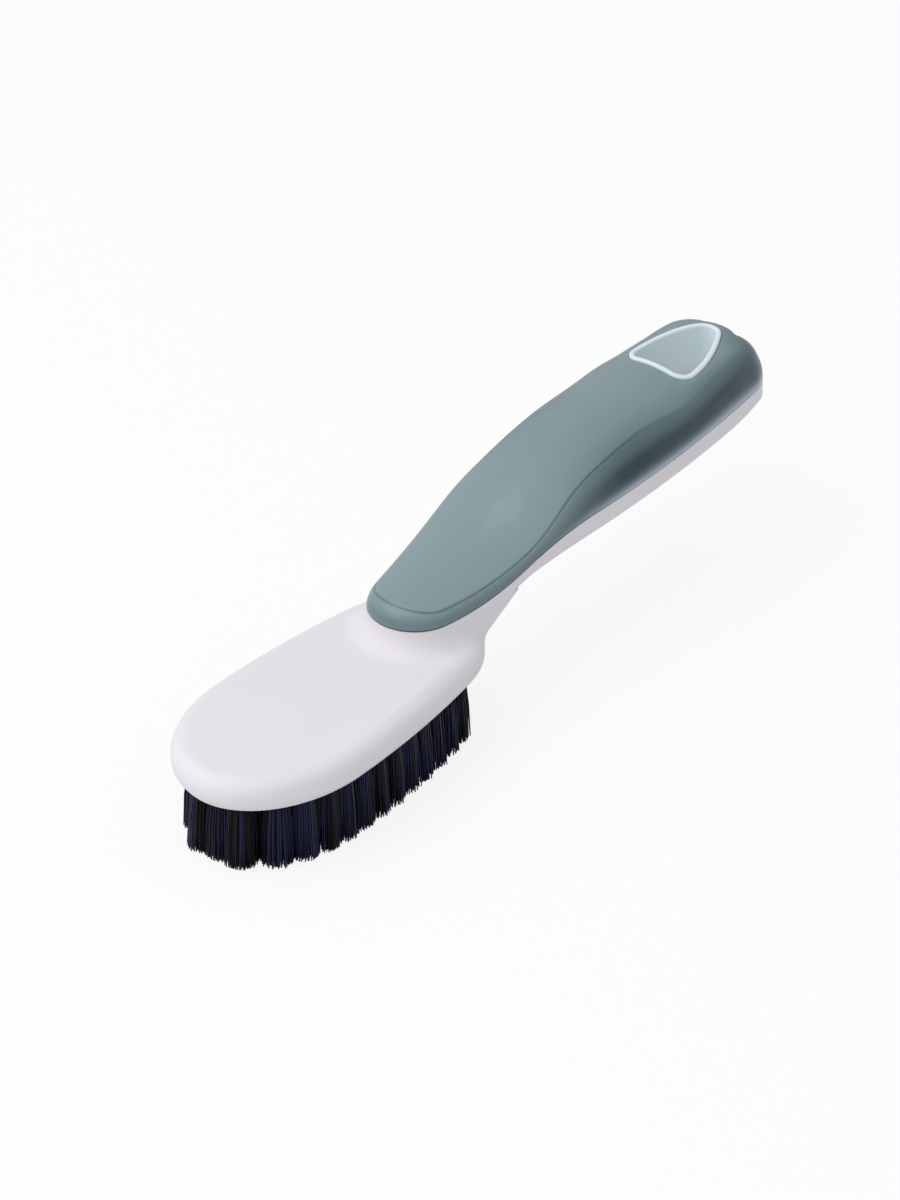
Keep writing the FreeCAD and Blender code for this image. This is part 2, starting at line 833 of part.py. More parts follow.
os.makedirs("parts", exist_ok=True)
for piece in pieces:
    piece.Label = piece.Name
    piece.Shape.exportStep(f"parts/{piece.Label}.step")
    print(piece.Label, len(piece.Shape.Solids), "solids", round(piece.Shape.Volume), "mm3")
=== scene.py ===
# %% [markdown]
# # A shoe brush with a two-tone handle
# The brush is a white moulded back, a glossy grey cover that closes its handle, and
# rows of dark bristle bunches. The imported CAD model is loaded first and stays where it
# is: it gives every size and place below, and each new piece is laid over its own node.

# %% Load the frame
import math

import bmesh
import bpy
import numpy as np
from mathutils import Matrix, Vector


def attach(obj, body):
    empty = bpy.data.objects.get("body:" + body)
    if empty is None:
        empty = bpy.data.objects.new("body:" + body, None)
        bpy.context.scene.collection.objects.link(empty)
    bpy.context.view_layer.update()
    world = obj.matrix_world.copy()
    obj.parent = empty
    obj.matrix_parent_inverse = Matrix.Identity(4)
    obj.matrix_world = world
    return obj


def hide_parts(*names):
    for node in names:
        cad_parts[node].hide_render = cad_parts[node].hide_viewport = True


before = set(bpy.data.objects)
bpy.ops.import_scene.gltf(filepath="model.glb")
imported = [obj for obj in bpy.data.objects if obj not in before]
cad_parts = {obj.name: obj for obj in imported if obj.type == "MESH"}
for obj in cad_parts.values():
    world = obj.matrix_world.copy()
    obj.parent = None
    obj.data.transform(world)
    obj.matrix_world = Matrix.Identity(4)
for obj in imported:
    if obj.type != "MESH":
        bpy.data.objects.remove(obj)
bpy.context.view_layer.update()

MM = 0.001

# %% [markdown]
# ## Sizes and side profiles
# The cover was drawn from a few lengths: an outline seen from above and two lines seen
# from the side. Repeating those formulas on whole arrays gives the same surface as fine
# as the render needs. Stations run along the brush from the front tip of the head, and
# heights start at the lip where the bristles come out, both in millimetres.

# %% Profiles of the handle
OVERALL_LENGTH = 226.2
LIP_HEIGHT = 19.4
NOSE_STATION = 75.0
HALF_WIDTH = 18.5
NOSE_RADIUS = 0.676 * HALF_WIDTH
TAIL_RADIUS = 0.8 * HALF_WIDTH
CROWN_BOW_RADIUS = 32.0
SEAM_STATIONS, SEAM_HEIGHTS = (87.0, 141.0), (16.0, 25.0)
CROWN_STATIONS, CROWN_HEIGHTS = (NOSE_STATION, 166.0), (21.7, 40.3)
DOME_RUN, DOME_DROP = 22.2, 9.8
NOSE_LEAN = 3.2
# Where each change of the flank's lean starts and ends, its sign and its amount
LEAN_CHANGES = (
    (NOSE_STATION, 100.0, -1, 1.0),
    (109.0, 141.0, 1, 5.0),
    (161.0, 196.0, -1, 5.0),
    (203.0, OVERALL_LENGTH, 1, 1.8),
)
SAMPLE_STATIONS = (80.0, 130.0, 200.0)


def ease(station, start, end, low, high):
    """An S of two equal arcs from low to high between two stations, level outside them.

    The arcs' radius is (run squared + rise squared) / (4 * rise).
    """
    run = end - start
    rise = high - low
    radius = (run**2 + rise**2) / (4 * rise)
    along = np.clip(station - start, 0, run)
    first = radius - np.sqrt(radius**2 - np.minimum(along, run / 2)**2)
    last = rise - radius + np.sqrt(radius**2 - np.minimum(run - along, run / 2)**2)
    return low + np.where(along < run / 2, first, last)


def seam_height(station):
    """The seam between back and cover: low under the nose, then an S up to the handle."""
    return ease(station, *SEAM_STATIONS, *SEAM_HEIGHTS)


def crown_height(station):
    """The cover's top along its middle: an S up from the nose, and a fall at the tail.

    The fall grows with the cube of the share of its run.
    """
    run_share = np.maximum(station - OVERALL_LENGTH + DOME_RUN, 0) / DOME_RUN
    return ease(station, *CROWN_STATIONS, *CROWN_HEIGHTS) - DOME_DROP * run_share**3


def crown_surface(station, side):
    """The cover's top anywhere: the crown line less the drop of an arc across the handle."""
    arc_drop = CROWN_BOW_RADIUS - np.sqrt(CROWN_BOW_RADIUS**2 - side**2)
    return crown_height(station) - arc_drop


def flank_lean(station):
    """How far the flank draws in by the crown: four S curves, added or taken off on the way."""
    lean = NOSE_LEAN
    for start, end, sign, amount in LEAN_CHANGES:
        lean = lean + sign * ease(station, start, end, 0.0, amount)
    return lean


for sample in SAMPLE_STATIONS:
    seam, crown = seam_height(sample).round(1), crown_height(sample).round(1)
    print("station", sample, "seam", seam, "crown", crown)

# %% [markdown]
# ## The outline from above
# The handle is a small circle at the nose, a larger one at the tail and one long bowed
# arc on each side that touches both. Because the arcs meet smoothly, the direction of
# the outward normal turns steadily from the nose to the tail, so each arc can be walked
# by that angle alone.

# %% Outline of the handle
NOSE_STEPS, SIDE_STEPS, TAIL_STEPS = 30, 150, 44


def side_arc():
    """Centre station and radius of the arc that touches both end circles at full width."""
    span = OVERALL_LENGTH - TAIL_RADIUS - NOSE_STATION - NOSE_RADIUS
    nose_room = HALF_WIDTH - NOSE_RADIUS
    tail_room = HALF_WIDTH - TAIL_RADIUS
    half_linear = nose_room * span
    constant = nose_room * (tail_room * (NOSE_RADIUS - TAIL_RADIUS) - span**2)
    root = math.sqrt(half_linear**2 - (tail_room - nose_room) * constant)
    distance = -constant / (half_linear + root)
    radius = (distance**2 / nose_room + HALF_WIDTH + NOSE_RADIUS) / 2
    return NOSE_STATION + NOSE_RADIUS + distance, radius


def outline(inset):
    """Stations, sides and normal angles of the far half, from the nose tip to the tail tip.

    A point is its circle's centre plus the radius, less an inset, along the normal.
    """
    widest, radius = side_arc()
    nose_centre = NOSE_STATION + NOSE_RADIUS
    tail_centre = OVERALL_LENGTH - TAIL_RADIUS
    rise = radius - HALF_WIDTH
    nose_turn = math.atan2(rise, nose_centre - widest)
    tail_turn = math.atan2(rise, tail_centre - widest)
    turns = [
        np.linspace(math.pi, nose_turn, NOSE_STEPS, endpoint=False),
        np.linspace(nose_turn, tail_turn, SIDE_STEPS, endpoint=False),
        np.linspace(tail_turn, 0.0, TAIL_STEPS),
    ]
    circles = [
        (nose_centre, 0.0, NOSE_RADIUS),
        (widest, -rise, radius),
        (tail_centre, 0.0, TAIL_RADIUS),
    ]
    stations, sides = [], []
    for turn, (station, side, full_radius) in zip(turns, circles):
        stations.append(station + (full_radius - inset) * np.cos(turn))
        sides.append(side + (full_radius - inset) * np.sin(turn))
    return np.concatenate(stations), np.concatenate(sides), np.concatenate(turns)


stations, sides, turns = outline(0.0)
print("outline points:", len(stations), "widest half:", sides.max().round(2), "mm")

# %% [markdown]
# ## Where the top ends in the middle
# Each walk over the cover starts at the seam and ends in the middle: on the centre line
# ahead of the hanging hole, and on the rim of the hole further back. A boolean cut would
# give the same hole with ragged faces. Letting the grid end on the rim keeps it regular.

# %% Centre line and hole rim
HOLE_FLAT = OVERALL_LENGTH - 38.8
HOLE_END = HOLE_FLAT + 26.8
HOLE_HALF_WIDTH = 10.3
HOLE_CORNER = 4.8
HOLE_SIDE = 40.0
HOLE_END_RADIUS = 4.8
RIM_GAP = 0.15
FLAT_STEPS, CORNER_STEPS, BOW_STEPS, END_STEPS = 24, 24, 40, 24


def hole_rim(gap):
    """The far half of the D-shaped rim, from the middle of its flat end to its round end.

    It is a straight end, a corner arc, a bowed side that touches both arcs, and the round
    end, all drawn outwards by a gap. The centre of the bowed side is as far from each of
    the other two centres as its radius is larger than theirs.
    """
    corner = np.array([HOLE_FLAT + HOLE_CORNER, HOLE_HALF_WIDTH - HOLE_CORNER])
    end = np.array([HOLE_END - HOLE_END_RADIUS, 0.0])
    span = np.hypot(*(end - corner))
    run = (end - corner) / span
    to_corner = HOLE_SIDE - HOLE_CORNER
    to_end = HOLE_SIDE - HOLE_END_RADIUS
    along = (to_corner**2 - to_end**2 + span**2) / (2 * span)
    inward = math.sqrt(to_corner**2 - along**2) * np.array([run[1], -run[0]])
    bow = corner + along * run + inward
    first = math.atan2(corner[1] - bow[1], corner[0] - bow[0])
    last = math.atan2(end[1] - bow[1], end[0] - bow[0])
    flat_start, flat_end = [HOLE_FLAT - gap, 0.0], [HOLE_FLAT - gap, corner[1]]
    flat = np.linspace(flat_start, flat_end, FLAT_STEPS, endpoint=False)
    turns = [
        np.linspace(math.pi, first, CORNER_STEPS, endpoint=False),
        np.linspace(first, last, BOW_STEPS, endpoint=False),
        np.linspace(last, 0.0, END_STEPS),
    ]
    circles = [(corner, HOLE_CORNER), (bow, HOLE_SIDE), (end, HOLE_END_RADIUS)]
    arcs = [
        centre + (radius + gap) * np.column_stack([np.cos(turn), np.sin(turn)])
        for turn, (centre, radius) in zip(turns, circles)
    ]
    return np.vstack([flat] + arcs)


# Outline stations, and how far along the rim the walks that start there end
WALK_STATIONS = (182.0, 188.0, 194.0, 208.0)
RIM_SHARES = (0.0, 0.17, 0.34, 0.62)
SPREAD_START = 165.0


def middle_ends():
    """Where each walk ends, and which walks end on the rim.

    Ahead of the hole the end is straight across on the centre line, drawn back little by
    little to the hole's flat end. After that it moves along the rim, as a share of the
    rim's length.
    """
    rim = hole_rim(RIM_GAP)
    steps = np.hypot(*np.diff(rim, axis=0).T)
    lengths = np.concatenate([[0.0], np.cumsum(steps)])
    centre = np.clip(stations, NOSE_STATION + NOSE_RADIUS, None)
    pulled = np.interp(centre, [SPREAD_START, WALK_STATIONS[0]], [SPREAD_START, rim[0, 0]])
    centre = np.where(centre < SPREAD_START, centre, pulled)
    walked = np.concatenate([[0.0], np.cumsum(np.hypot(np.diff(stations), np.diff(sides)))])
    keys = np.interp(WALK_STATIONS, stations, walked)
    share = np.interp(walked, np.append(keys, walked[-1]), RIM_SHARES + (1.0,))
    along = share * lengths[-1]
    rim_station = np.interp(along, lengths, rim[:, 0])
    rim_side = np.interp(along, lengths, rim[:, 1])
    on_rim = stations >= WALK_STATIONS[0]
    return np.where(on_rim, rim_station, centre), np.where(on_rim, rim_side, 0.0), on_rim


end_stations, end_sides, on_rim = middle_ends()
print("walks that end on the rim:", int(on_rim.sum()), "of", len(on_rim))

# %% [markdown]
# ## The grip cover
# The real cover is a smooth moulded shell. Its flank starts upright at the seam, rolls in
# towards a crease with a fine groove in it, and runs over a bowed top. The walk over it is
# a grid: one parameter goes round the outline, the other goes from the seam over the
# crease to the middle. A second, smaller walk is the inside of the wall, and the two are
# joined along the seam and the rim, so the shell is closed and as thick as the moulded one.

# %% Walk over the cover
SEAM_GAP = 0.1
WALL = 1.8
SEAM_ROLL = 0.45
EDGE_TURNS = np.radians([90.0, 65.0, 40.0, 18.0])[:, None]
FLANK_ROWS, ROLL_ROWS, TOP_ROWS = 20, 17, 30
ROLL_STATIONS = (75.0, 84.0, 104.0, 160.0, 180.0, 192.0, 202.0, 213.0, 226.0)
ROLL_LENGTHS = (1.3, 1.2, 0.9, 0.9, 1.9, 4.2, 4.2, 2.4, 2.0)
INNER_ROLL_SHARE = 0.3
GROOVE_STATIONS = (75.0, 82.0, 155.0, 185.0)
GROOVE_DEPTHS = (0.16, 0.2, 0.2, 0.0)
GROOVE_SPREAD = 0.14
CREASE_LOW, CREASE_HIGH = 0.2, 1.25
HALVINGS = 40


def flank_point(inset, share):
    """The flank at a share of the way up: it draws in with the square of that share."""
    station, side, turn = outline(inset)
    lean = flank_lean(station) * share**2
    rise = crown_height(station) - seam_height(station)
    spot = [station - lean * np.cos(turn), side - lean * np.sin(turn)]
    return np.array(spot + [seam_height(station) + share * rise])


def crease_share(inset):
    """Share of the flank's height at which it meets the top, found by halving a range."""
    low = np.full_like(stations, CREASE_LOW)
    high = np.full_like(stations, CREASE_HIGH)
    for _ in range(HALVINGS):
        middle = (low + high) / 2
        station, side, height = flank_point(inset, middle)
        under = height < crown_surface(station, side) - inset
        low = np.where(under, middle, low)
        high = np.where(under, high, middle)
    return (low + high) / 2


def cover_walk(inset, roll_share, start_height, groove):
    """Rows of points from the seam to the middle, each row's share of the way, and the groove.

    The rows are the flank, a quadratic curve that rounds the crease, and the top. The
    curve starts and ends one roll length from the crease and bends towards it. The groove
    is a bell curve across it that dips inwards and down. Shares go from 0 at the seam to
    1 at the crease and 2 in the middle.
    """
    crease = crease_share(inset)
    edge = flank_point(inset, crease)
    roll = roll_share * np.interp(stations, ROLL_STATIONS, ROLL_LENGTHS)
    rise = crown_height(stations) - seam_height(stations)
    flank_start = start_height / rise
    flank_end = crease - roll / rise
    ends = np.array([end_stations, end_sides])
    top_start = edge[:2] + (ends - edge[:2]) * roll / np.hypot(*(ends - edge[:2]))
    finish = np.vstack([top_start, crown_surface(*top_start) - inset])
    flank_parts = np.linspace(0.0, 1.0, FLANK_ROWS)[:, None]
    flank_shares = flank_start + flank_parts * (flank_end - flank_start)
    flank_rows = np.array([flank_point(inset, share) for share in flank_shares])
    parts = np.linspace(0.0, 1.0, ROLL_ROWS)[1:, None]
    bell = np.exp(-((parts - 0.5) / GROOVE_SPREAD)**2)
    bends = np.stack([(1 - parts)**2, 2 * parts * (1 - parts), parts**2])[..., None, :]
    roll_rows = bends[0] * flank_rows[-1] + bends[1] * edge + bends[2] * finish
    depth = groove * np.interp(stations, GROOVE_STATIONS, GROOVE_DEPTHS)
    inward = np.array([np.cos(turns), np.sin(turns), np.ones_like(turns)]) / math.sqrt(2.0)
    roll_rows = roll_rows - (bell * depth)[:, None] * inward
    low = flank_shares[-1] / crease
    roll_shares = low + (2.0 - 2.0 * low) * parts
    top_parts = np.linspace(0.0, 1.0, TOP_ROWS)[1:, None]
    spots = top_start[:, None] + (ends - top_start)[:, None] * top_parts
    top_rows = np.stack([*spots, crown_surface(*spots) - inset], axis=1)
    top_shares = 2.0 - low + low * top_parts
    rows = np.concatenate([flank_rows, roll_rows, top_rows])
    shares = np.concatenate([flank_shares / crease, roll_shares, top_shares])
    lines = np.zeros_like(shares)
    lines[FLANK_ROWS:FLANK_ROWS + ROLL_ROWS - 1] = bell * depth / max(GROOVE_DEPTHS)
    return rows, shares, lines


def seam_edge(first_row):
    """The rounded edge under the flank: a quarter circle that turns in towards the seam."""
    inward = SEAM_ROLL * (1 - np.cos(EDGE_TURNS))
    station = first_row[0] - inward * np.cos(turns)
    side = first_row[1] - inward * np.sin(turns)
    return np.stack([station, side, first_row[2] - SEAM_ROLL * np.sin(EDGE_TURNS)], axis=1)


outer, outer_shares, outer_lines = cover_walk(0.0, 1.0, SEAM_GAP + SEAM_ROLL, 1.0)
inner, inner_shares, inner_lines = cover_walk(WALL, INNER_ROLL_SHARE, SEAM_GAP, 0.0)
edge_rows = seam_edge(outer[0])
loop = np.concatenate([edge_rows, outer, inner[::-1]])
edge_shares = np.zeros(edge_rows.shape[::2])
loop_shares = np.concatenate([edge_shares, outer_shares, inner_shares[::-1]])
loop_lines = np.concatenate([edge_shares, outer_lines, inner_lines[::-1]])
print("rows round the wall:", len(loop), "columns in one half:", loop.shape[2])

# %% [markdown]
# Both halves are the same array, once as it is and once mirrored with its faces turned
# round. The strip that would close the wall along the centre line is left out, because
# there the two halves run into each other, and matching points are then merged. A closed
# mesh whose faces look outwards has a positive volume, which is a quick test.

# %% Build the cover
SHARP_ANGLE = math.radians(50.0)
MERGE_DISTANCE = 0.001 * MM


def to_frame(rows):
    """Points in metres in the CAD frame, from rows of station, side and height."""
    points = np.moveaxis(rows, 1, -1).reshape(-1, 3)
    return (points + [-OVERALL_LENGTH / 2, 0.0, LIP_HEIGHT]) * MM


def add_piece(name, points, faces):
    """A mesh object at the origin, smooth shaded, from arrays of points and faces."""
    mesh = bpy.data.meshes.new(name)
    mesh.from_pydata(points.tolist(), [], faces.tolist())
    mesh.shade_smooth()
    piece = bpy.data.objects.new(name, mesh)
    bpy.context.scene.collection.objects.link(piece)
    return piece


def add_values(piece, name, values):
    """A number for each point that a material can read by name."""
    layer = piece.data.attributes.new(name, "FLOAT", "POINT")
    layer.data.foreach_set("value", np.asarray(values, dtype=np.float32))


def merge_points(piece, distance):
    """Merges points that lie together; returns the volume inside and the open edges' number."""
    form = bmesh.new()
    form.from_mesh(piece.data)
    bmesh.ops.remove_doubles(form, verts=form.verts, dist=distance)
    volume = form.calc_volume(signed=True)
    open_edges = sum(not edge.is_manifold for edge in form.edges)
    form.to_mesh(piece.data)
    form.free()
    return volume, open_edges


row_count, column_count = loop.shape[0], loop.shape[2]
row_index, column_index = np.indices((row_count, column_count - 1))
next_row = (row_index + 1) % row_count
corners = [(row_index, column_index), (row_index, column_index + 1),
           (next_row, column_index + 1), (next_row, column_index)]
half_faces = np.stack([row * column_count + column for row, column in corners], axis=-1)
last_top_row = len(edge_rows) + len(outer) - 1
across_middle = (row_index == last_top_row) & ~on_rim[column_index]
half_faces = half_faces[~across_middle]
far_points = to_frame(loop)
near_points = far_points * [1.0, -1.0, 1.0]
cover_points = np.vstack([far_points, near_points])
cover_faces = np.vstack([half_faces, half_faces[:, ::-1] + len(far_points)])
cover = add_piece("grip_shell", cover_points, cover_faces)
add_values(cover, "flank_share", np.tile(loop_shares.reshape(-1), 2))
add_values(cover, "crease_line", np.tile(loop_lines.reshape(-1), 2))
volume, open_edges = merge_points(cover, MERGE_DISTANCE)
cover.data.set_sharp_from_angle(angle=SHARP_ANGLE)
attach(cover, "root")
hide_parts("grip_cover")
wall_volume = round(volume / MM**3)
print("cover:", len(cover.data.polygons), "faces", wall_volume, "mm3", open_edges, "open edges")

# %% [markdown]
# ## The bristles
# Each bunch is folded over a staple in its hole and fans out below the lip. On the brush
# it is a bundle of separate strands, so a solid plug would look wrong at the edges. Every
# strand here is a thin square tube with a few rings. All strands of one row are computed
# together, from the places of the mouths and tips that the CAD row has.

# %% Strands of a row
STRANDS = 230
STRAND_RADIUS = 0.16
MOUTH_RADIUS = 1.84
TIP_RADIUS = 4.5
ROOT_DEPTH = 3.0
FAN_POWER = 0.28
STREAKS = 14
STREAK_SHARE = 0.65
TIP_SCATTER, BOW_SCATTER, CUT_SCATTER = 0.16, 0.14, 0.2
LEVEL_TOLERANCE, BUNCH_GAP = 0.01, 0.35
GOLDEN_TURN = math.pi * (3 - math.sqrt(5))
RING_SHARES = np.array([0.0, 0.07, 0.22, 0.5, 1.0])
SIDE_TURNS = np.radians([45.0, 135.0, 225.0, 315.0])
draw = np.random.default_rng(7)


def bunch_centres(node, height):
    """Middles of the rings that a CAD row has at one height, split where a gap shows."""
    points = np.empty(len(node.data.vertices) * 3, dtype=np.float32)
    node.data.vertices.foreach_get("co", points)
    points = points.reshape(-1, 3) / MM
    level = points[np.abs(points[:, 2] - height) < LEVEL_TOLERANCE]
    level = level[np.argsort(level[:, 1])]
    groups = np.split(level, np.flatnonzero(np.diff(level[:, 1]) > BUNCH_GAP) + 1)
    return np.array([(group.max(axis=0) + group.min(axis=0)) / 2 for group in groups])


def strand_paths(mouths, tips):
    """Ring middles and shade of every strand: in the hole, at the mouth, and down to its tip.

    In a bunch the strands sit on a sunflower spiral. Each goes from its place in the
    mouth to a wider place in the tip, slightly bowed by a sine, and some are cut shorter.
    Strands that lie in the same direction from the middle share a part of their shade.
    """
    count = len(mouths)
    number = np.arange(STRANDS)
    radius = np.sqrt((number + 0.5) / STRANDS)
    turn = number * GOLDEN_TURN + draw.uniform(0, 2 * math.pi, (count, 1))
    place = radius[:, None] * np.stack([np.cos(turn), np.sin(turn)], axis=-1)
    mouth = mouths[:, None, :2] + MOUTH_RADIUS * place
    tip = tips[:, None, :2] + TIP_RADIUS * place + draw.normal(0.0, TIP_SCATTER, place.shape)
    bow = draw.normal(0.0, BOW_SCATTER, place.shape)
    cut = np.abs(draw.normal(0.0, CUT_SCATTER, (count, STRANDS)))
    streaks = draw.uniform(0.0, 1.0, (count, STREAKS))
    sector = (turn / (2 * math.pi) * STREAKS).astype(int) % STREAKS
    streak = np.take_along_axis(streaks, sector, axis=1)
    shade = STREAK_SHARE * streak + (1 - STREAK_SHARE) * draw.uniform(0.0, 1.0, streak.shape)
    share = RING_SHARES[:, None]
    flat = mouth[:, :, None] + (tip - mouth)[:, :, None] * share**FAN_POWER
    flat = flat + bow[:, :, None] * np.sin(math.pi * share)
    height = LIP_HEIGHT - RING_SHARES * (LIP_HEIGHT - cut[..., None])
    free = np.concatenate([flat, height[..., None]], axis=-1)
    root = free[:, :, :1] + [0.0, 0.0, ROOT_DEPTH]
    return np.concatenate([root, free], axis=2).reshape(count * STRANDS, -1, 3), shade.reshape(-1)


def strand_mesh(paths):
    """Square tubes along the paths: four points round each ring, with both ends closed."""
    count, rings, _ = paths.shape
    ring = np.column_stack([np.cos(SIDE_TURNS), np.sin(SIDE_TURNS), 0 * SIDE_TURNS])
    points = (paths[:, :, None] + STRAND_RADIUS * ring).reshape(-1, 3) * MM
    around = np.arange(len(SIDE_TURNS))
    after = np.roll(around, -1)
    upper = np.arange(rings - 1)[:, None] * len(around)
    lower = upper + len(around)
    walls = np.stack([upper + around, lower + around, lower + after, upper + after], axis=-1)
    top = around
    bottom = around[::-1] + (rings - 1) * len(around)
    one = np.vstack([walls.reshape(-1, 4), top, bottom])
    start = np.arange(count)[:, None, None] * rings * len(around)
    return points, (one + start).reshape(-1, 4)


row_names = sorted(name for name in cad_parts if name.startswith("tuft_row_"))
bristle_rows = []
for name in row_names:
    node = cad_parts[name]
    mouths = bunch_centres(node, LIP_HEIGHT)
    tips = bunch_centres(node, 0.0)
    paths, shade = strand_paths(mouths, tips)
    row = add_piece(name.replace("tuft", "bristle"), *strand_mesh(paths))
    add_values(row, "strand_shade", np.repeat(shade, len(row.data.vertices) // len(paths)))
    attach(row, "root")
    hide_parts(name)
    bristle_rows.append(row)
    print(row.name, len(mouths), "bunches", len(row.data.polygons), "faces")

# %% [markdown]
# ## Finishes
# Every finish is a node material on object coordinates, in metres. Moulded plastic is
# never perfectly even: a broad, weak cloud changes its colour and gloss a little, and a
# fine grain stands up by some micrometres.

# %% Material tools
# A noise keeps near its middle, so its colour and gloss are read off a part of its range
CLOUD_RANGE, FLECK_RANGE = (0.35, 0.65), (0.3, 0.7)
GRAIN_DETAIL = 3.0


def new_finish(name, **inputs):
    """A node material with one shader, whose plain settings are given by name."""
    finish = bpy.data.materials.new(name)
    finish.use_nodes = True
    shader = finish.node_tree.nodes["Principled BSDF"]
    for key, value in inputs.items():
        shader.inputs[key.replace("_", " ").title().replace("Ior", "IOR")].default_value = value
    return finish, finish.node_tree, shader


def add_node(tree, kind, **settings):
    """A node with its settings; a socket's value is set by its number, as in i2=0.5."""
    node = tree.nodes.new("ShaderNode" + kind)
    for key, value in settings.items():
        if key[0] == "i" and key[1:].isdigit():
            node.inputs[int(key[1:])].default_value = value
        else:
            setattr(node, key, value)
    return node


def cloud(tree, scale, detail):
    """A noise on object coordinates, with so many lumps to the metre."""
    place = add_node(tree, "TexCoord")
    noise = add_node(tree, "TexNoise")
    noise.inputs["Scale"].default_value = scale
    noise.inputs["Detail"].default_value = detail
    tree.links.new(place.outputs["Object"], noise.inputs["Vector"])
    return noise.outputs["Fac"]


def blend(tree, share, first, second):
    """A colour between two colours or sockets, by a share."""
    mix = add_node(tree, "Mix", data_type="RGBA")
    tree.links.new(share, mix.inputs["Factor"])
    for socket, value in ((mix.inputs[6], first), (mix.inputs[7], second)):
        if isinstance(value, bpy.types.NodeSocket):
            tree.links.new(value, socket)
        else:
            socket.default_value = (*value, 1.0)
    return mix.outputs[2]


def spread(tree, value, low, high, first, last, smooth=False):
    """A value's range low to high carried over to first to last, and held outside it."""
    kind = "SMOOTHSTEP" if smooth else "LINEAR"
    node = add_node(tree, "MapRange", interpolation_type=kind, i1=low, i2=high, i3=first, i4=last)
    tree.links.new(value, node.inputs[0])
    return node.outputs[0]


def ramp(tree, value, stops):
    """A colour read off a value from 0 to 1, between stops of a place and a colour."""
    node = add_node(tree, "ValToRGB")
    band = node.color_ramp
    while len(band.elements) < len(stops):
        band.elements.new(0.5)
    for element, (place, colour) in zip(band.elements, stops):
        element.position = place
        element.color = (*colour, 1.0)
    tree.links.new(value, node.inputs[0])
    return node.outputs[0]


def work_out(tree, kind, first, second):
    """A sum, product or other result of two sockets, or of a socket and a number."""
    node = add_node(tree, "Math", operation=kind)
    for socket, value in zip(node.inputs, (first, second)):
        if isinstance(value, bpy.types.NodeSocket):
            tree.links.new(value, socket)
        else:
            socket.default_value = value
    return node.outputs[0]


def mix_shaders(tree, share, first, second, output):
    """Two shaders mixed by a share, as the surface of the tree's output node."""
    join = add_node(tree, "MixShader")
    for socket, source in zip(join.inputs, (share, first.outputs[0], second.outputs[0])):
        tree.links.new(source, socket)
    tree.links.new(join.outputs[0], tree.nodes[output].inputs["Surface"])


def object_axes(tree):
    """The three object coordinates of a point, in metres."""
    axes = add_node(tree, "SeparateXYZ")
    tree.links.new(add_node(tree, "TexCoord").outputs["Object"], axes.inputs[0])
    return axes.outputs


def grain(tree, shader, height, scale, strength):
    """A fine bump from a noise, whose height is in metres."""
    bump = add_node(tree, "Bump")
    bump.inputs["Strength"].default_value = strength
    bump.inputs["Distance"].default_value = height
    tree.links.new(cloud(tree, scale, GRAIN_DETAIL), bump.inputs["Height"])
    tree.links.new(bump.outputs["Normal"], shader.inputs["Normal"])


print("material tools ready")

# %% [markdown]
# The white back is satin: a soft sheen on a white with a breath of lilac, a little lighter
# in the broad cloud, with the fine grain of a blasted mould. The collar round the hanging
# hole stands inside the grey cover and gets a painted cool shade, and the edge of the lip
# over the bristles gets a painted highlight. Both follow the height of a point.

# %% White back
WHITE_SHADES = ((0.80, 0.765, 0.79), (0.825, 0.79, 0.812))
LIP_HIGHLIGHT_WHITE = (0.93, 0.92, 0.94)
COLLAR_SHADE_TINT = (0.76, 0.86, 0.88)
LIP_EDGE, COLLAR_EDGE = (0.0196, 0.0204), (0.0445, 0.048)
LIP_HIGHLIGHT_SHARE = 0.8
# Clouds and flecks are lumps to the metre and detail, a grain is height, lumps and strength
WHITE_CLOUD, WHITE_FLECKS = (22.0, 2.0), (420.0, 2.0)
WHITE_ROUGHNESS = (0.46, 0.56)
WHITE_GRAIN = (8e-6, 2600.0, 0.35)
white, tree, shader = new_finish("satin_white", specular_ior_level=0.22)
patch = spread(tree, cloud(tree, *WHITE_CLOUD), *CLOUD_RANGE, 0.0, 1.0)
body = blend(tree, patch, *WHITE_SHADES)
height = object_axes(tree)[2]
# Painted highlight: the lip's edge over the bristles is lightened towards white
lip = spread(tree, height, *LIP_EDGE, LIP_HIGHLIGHT_SHARE, 0.0, smooth=True)
body = blend(tree, lip, body, LIP_HIGHLIGHT_WHITE)
# Painted shade: the collar inside the cover is tinted a cool, darker white
cool = spread(tree, height, *COLLAR_EDGE, 0.0, 1.0, smooth=True)
tree.links.new(blend(tree, cool, body, COLLAR_SHADE_TINT), shader.inputs["Base Color"])
gloss = spread(tree, cloud(tree, *WHITE_FLECKS), *FLECK_RANGE, *WHITE_ROUGHNESS)
tree.links.new(gloss, shader.inputs["Roughness"])
grain(tree, shader, *WHITE_GRAIN)
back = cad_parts["brush_back"]
back.data.materials.clear()
back.data.materials.append(white)
print("back:", back.data.materials[0].name)
